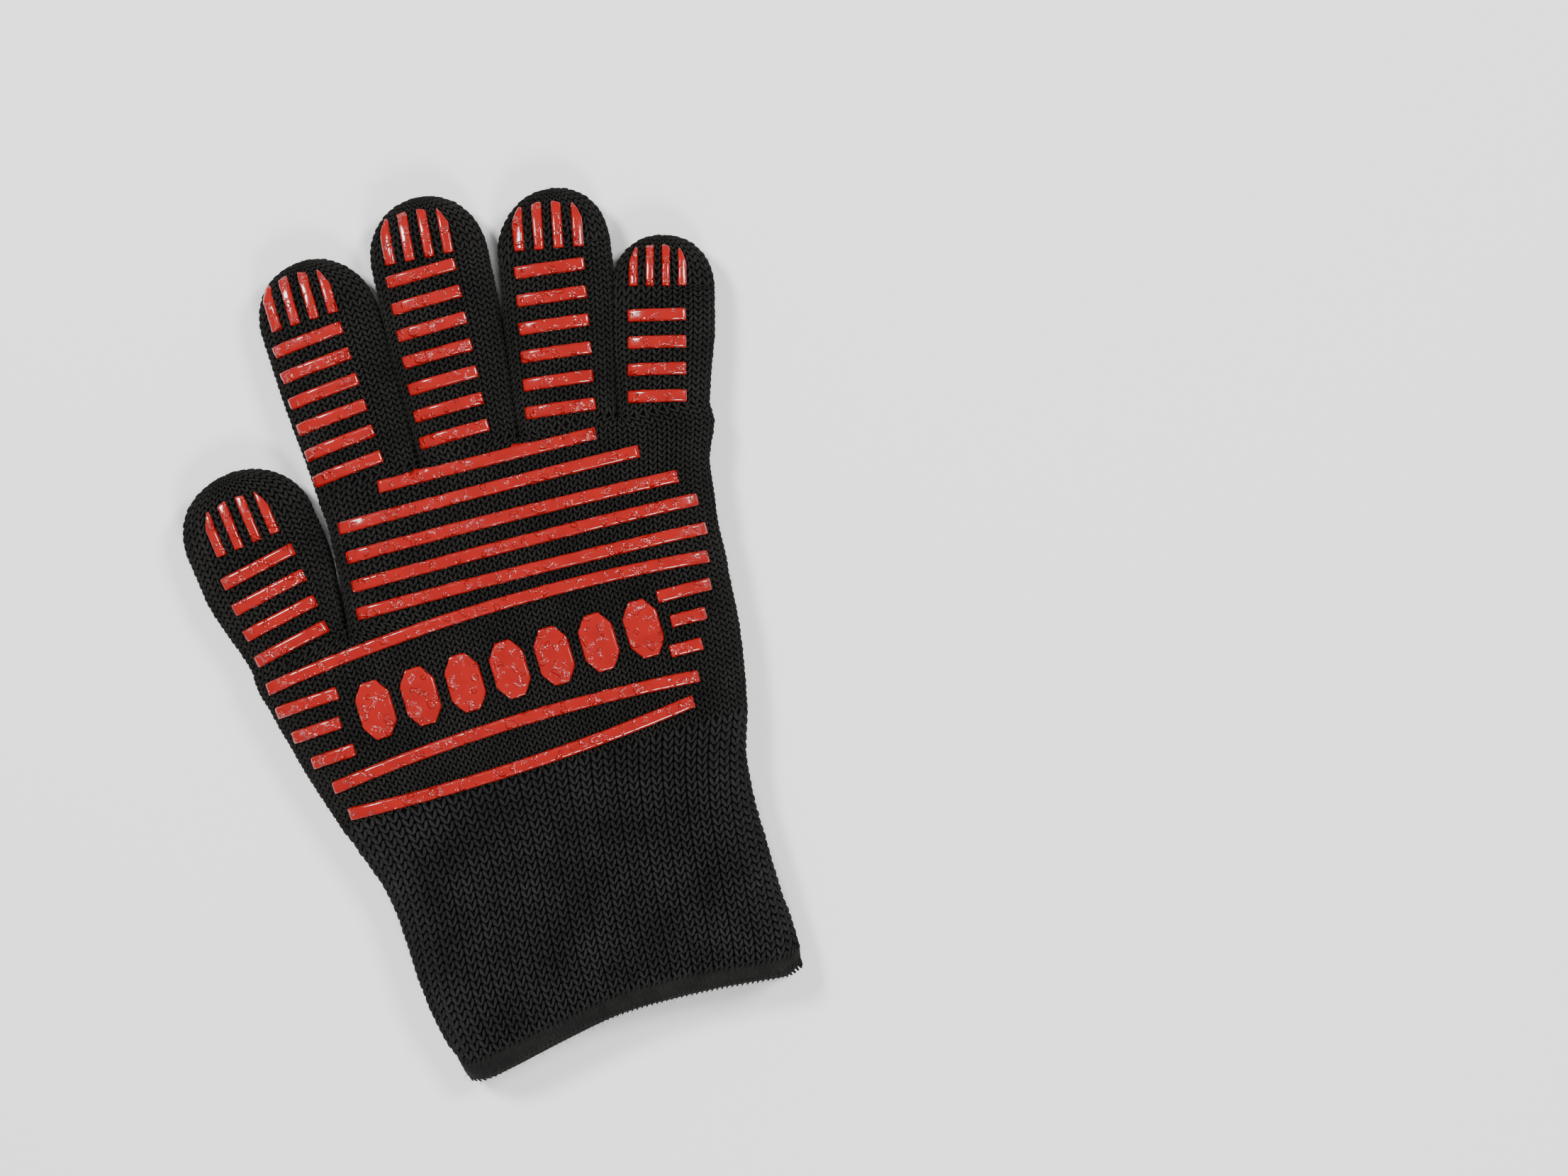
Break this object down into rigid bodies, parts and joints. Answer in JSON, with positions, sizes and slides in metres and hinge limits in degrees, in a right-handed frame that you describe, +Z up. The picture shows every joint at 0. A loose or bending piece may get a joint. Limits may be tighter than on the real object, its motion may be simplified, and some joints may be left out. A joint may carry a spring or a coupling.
{
  "type": "heat resistant glove",
  "caption": "Two-layer knitted heat resistant glove with silicone grip prints on the palm side and a long bound cuff; fingers, thumb and wrist bend.",
  "frame": {"origin": "centre of the glove's box on the surface it lies on", "axes": "+Y towards the fingertips, +Z up on the palm side, +X towards the little finger"},
  "size_m": [0.1925, 0.2907, 0.022],
  "materials": {
    "black_knit": "matte rib-free knit",
    "cuff_knit": "matte coarser knit",
    "binding_cloth": "matte tape, overlocked edge",
    "cotton_lining": "soft natural cotton",
    "red_silicone": "slightly glossy, bumpy print"
  },
  "bodies": {
    "palm": {"palm_shell": "black_knit", "palm_lining": "cotton_lining", "palm_bar_1": "red_silicone", "palm_bar_2": "red_silicone", "palm_bar_3": "red_silicone", "palm_bar_4": "red_silicone", "palm_bar_5": "red_silicone", "palm_bar_6": "red_silicone", "palm_bar_7": "red_silicone", "palm_bar_8": "red_silicone", "thumb_side_bars": "red_silicone", "little_side_bars": "red_silicone", "palm_studs": "red_silicone"},
    "cuff": {"cuff_shell": "cuff_knit", "cuff_lining": "cotton_lining", "cuff_binding": "binding_cloth"},
    "thumb_base": {"thumb_base_shell": "black_knit", "thumb_base_lining": "cotton_lining", "thumb_base_prints": "red_silicone"},
    "thumb_tip": {"thumb_tip_shell": "black_knit", "thumb_tip_lining": "cotton_lining", "thumb_tip_prints": "red_silicone"},
    "index_proximal": {"index_proximal_shell": "black_knit", "index_proximal_lining": "cotton_lining", "index_proximal_prints": "red_silicone"},
    "index_middle": {"index_middle_shell": "black_knit", "index_middle_lining": "cotton_lining", "index_middle_prints": "red_silicone"},
    "index_tip": {"index_tip_shell": "black_knit", "index_tip_lining": "cotton_lining", "index_tip_prints": "red_silicone"},
    "middle_proximal": {"middle_proximal_shell": "black_knit", "middle_proximal_lining": "cotton_lining", "middle_proximal_prints": "red_silicone"},
    "middle_middle": {"middle_middle_shell": "black_knit", "middle_middle_lining": "cotton_lining", "middle_middle_prints": "red_silicone"},
    "middle_tip": {"middle_tip_shell": "black_knit", "middle_tip_lining": "cotton_lining", "middle_tip_prints": "red_silicone"},
    "ring_proximal": {"ring_proximal_shell": "black_knit", "ring_proximal_lining": "cotton_lining", "ring_proximal_prints": "red_silicone"},
    "ring_middle": {"ring_middle_shell": "black_knit", "ring_middle_lining": "cotton_lining", "ring_middle_prints": "red_silicone"},
    "ring_tip": {"ring_tip_shell": "black_knit", "ring_tip_lining": "cotton_lining", "ring_tip_prints": "red_silicone"},
    "little_proximal": {"little_proximal_shell": "black_knit", "little_proximal_lining": "cotton_lining", "little_proximal_prints": "red_silicone"},
    "little_middle": {"little_middle_shell": "black_knit", "little_middle_lining": "cotton_lining", "little_middle_prints": "red_silicone"},
    "little_tip": {"little_tip_shell": "black_knit", "little_tip_lining": "cotton_lining", "little_tip_prints": "red_silicone"}
  },
  "joints": [
    {"name": "thumb_root_bend", "type": "hinge", "parent": "palm", "child": "thumb_base", "pos_m": [-0.0697, 0.0096, 0.018], "axis": [0.9836, 0.1805, 0], "range_deg": [0, 50], "stiffness_Nm_per_rad": 0.012},
    {"name": "thumb_tip_bend", "type": "hinge", "parent": "thumb_base", "child": "thumb_tip", "pos_m": [-0.07308, 0.0379, 0.01756], "axis": [0.9836, 0.1805, 0], "range_deg": [0, 70], "stiffness_Nm_per_rad": 0.008},
    {"name": "index_root_bend", "type": "hinge", "parent": "palm", "child": "index_proximal", "pos_m": [-0.032, 0.0607, 0.018], "axis": [1, 0, 0], "range_deg": [0, 85], "stiffness_Nm_per_rad": 0.012},
    {"name": "index_knuckle_bend", "type": "hinge", "parent": "index_proximal", "child": "index_middle", "pos_m": [-0.03237, 0.0872, 0.01747], "axis": [1, 0, 0], "range_deg": [0, 95], "stiffness_Nm_per_rad": 0.008},
    {"name": "index_tip_bend", "type": "hinge", "parent": "index_middle", "child": "index_tip", "pos_m": [-0.03275, 0.1141, 0.01694], "axis": [1, 0, 0], "range_deg": [0, 60], "stiffness_Nm_per_rad": 0.005},
    {"name": "middle_root_bend", "type": "hinge", "parent": "palm", "child": "middle_proximal", "pos_m": [0.0033, 0.0607, 0.018], "axis": [1, 0, 0], "range_deg": [0, 85], "stiffness_Nm_per_rad": 0.012},
    {"name": "middle_knuckle_bend", "type": "hinge", "parent": "middle_proximal", "child": "middle_middle", "pos_m": [0.00553, 0.08841, 0.01751], "axis": [1, 0, 0], "range_deg": [0, 95], "stiffness_Nm_per_rad": 0.008},
    {"name": "middle_tip_bend", "type": "hinge", "parent": "middle_middle", "child": "middle_tip", "pos_m": [0.00771, 0.11552, 0.01703], "axis": [1, 0, 0], "range_deg": [0, 60], "stiffness_Nm_per_rad": 0.005},
    {"name": "ring_root_bend", "type": "hinge", "parent": "palm", "child": "ring_proximal", "pos_m": [0.0372, 0.0587, 0.018], "axis": [1, 0, 0], "range_deg": [0, 85], "stiffness_Nm_per_rad": 0.012},
    {"name": "ring_knuckle_bend", "type": "hinge", "parent": "ring_proximal", "child": "ring_middle", "pos_m": [0.04312, 0.08658, 0.01746], "axis": [1, 0, 0], "range_deg": [0, 95], "stiffness_Nm_per_rad": 0.008},
    {"name": "ring_tip_bend", "type": "hinge", "parent": "ring_middle", "child": "ring_tip", "pos_m": [0.04888, 0.11367, 0.01693], "axis": [1, 0, 0], "range_deg": [0, 60], "stiffness_Nm_per_rad": 0.005},
    {"name": "little_root_bend", "type": "hinge", "parent": "palm", "child": "little_proximal", "pos_m": [0.0693, 0.0542, 0.017], "axis": [0.9976, -0.0698, 0], "range_deg": [0, 75], "stiffness_Nm_per_rad": 0.012},
    {"name": "little_knuckle_bend", "type": "hinge", "parent": "little_proximal", "child": "little_middle", "pos_m": [0.07415, 0.07091, 0.01641], "axis": [0.9976, -0.0698, 0], "range_deg": [0, 95], "stiffness_Nm_per_rad": 0.008},
    {"name": "little_tip_bend", "type": "hinge", "parent": "little_middle", "child": "little_tip", "pos_m": [0.07945, 0.08915, 0.01576], "axis": [0.9976, -0.0698, 0], "range_deg": [0, 60], "stiffness_Nm_per_rad": 0.005},
    {"name": "wrist_bend", "type": "hinge", "parent": "palm", "child": "cuff", "pos_m": [-0.0022, -0.0608, 0.01], "axis": [-1, 0, 0], "range_deg": [-40, 60], "stiffness_Nm_per_rad": 0.03}
  ],
  "couplings": [
    {"joint": "index_tip_bend", "follows": "index_knuckle_bend", "ratio": 0.62},
    {"joint": "middle_tip_bend", "follows": "middle_knuckle_bend", "ratio": 0.62},
    {"joint": "ring_tip_bend", "follows": "ring_knuckle_bend", "ratio": 0.62},
    {"joint": "little_tip_bend", "follows": "little_knuckle_bend", "ratio": 0.62}
  ]
}
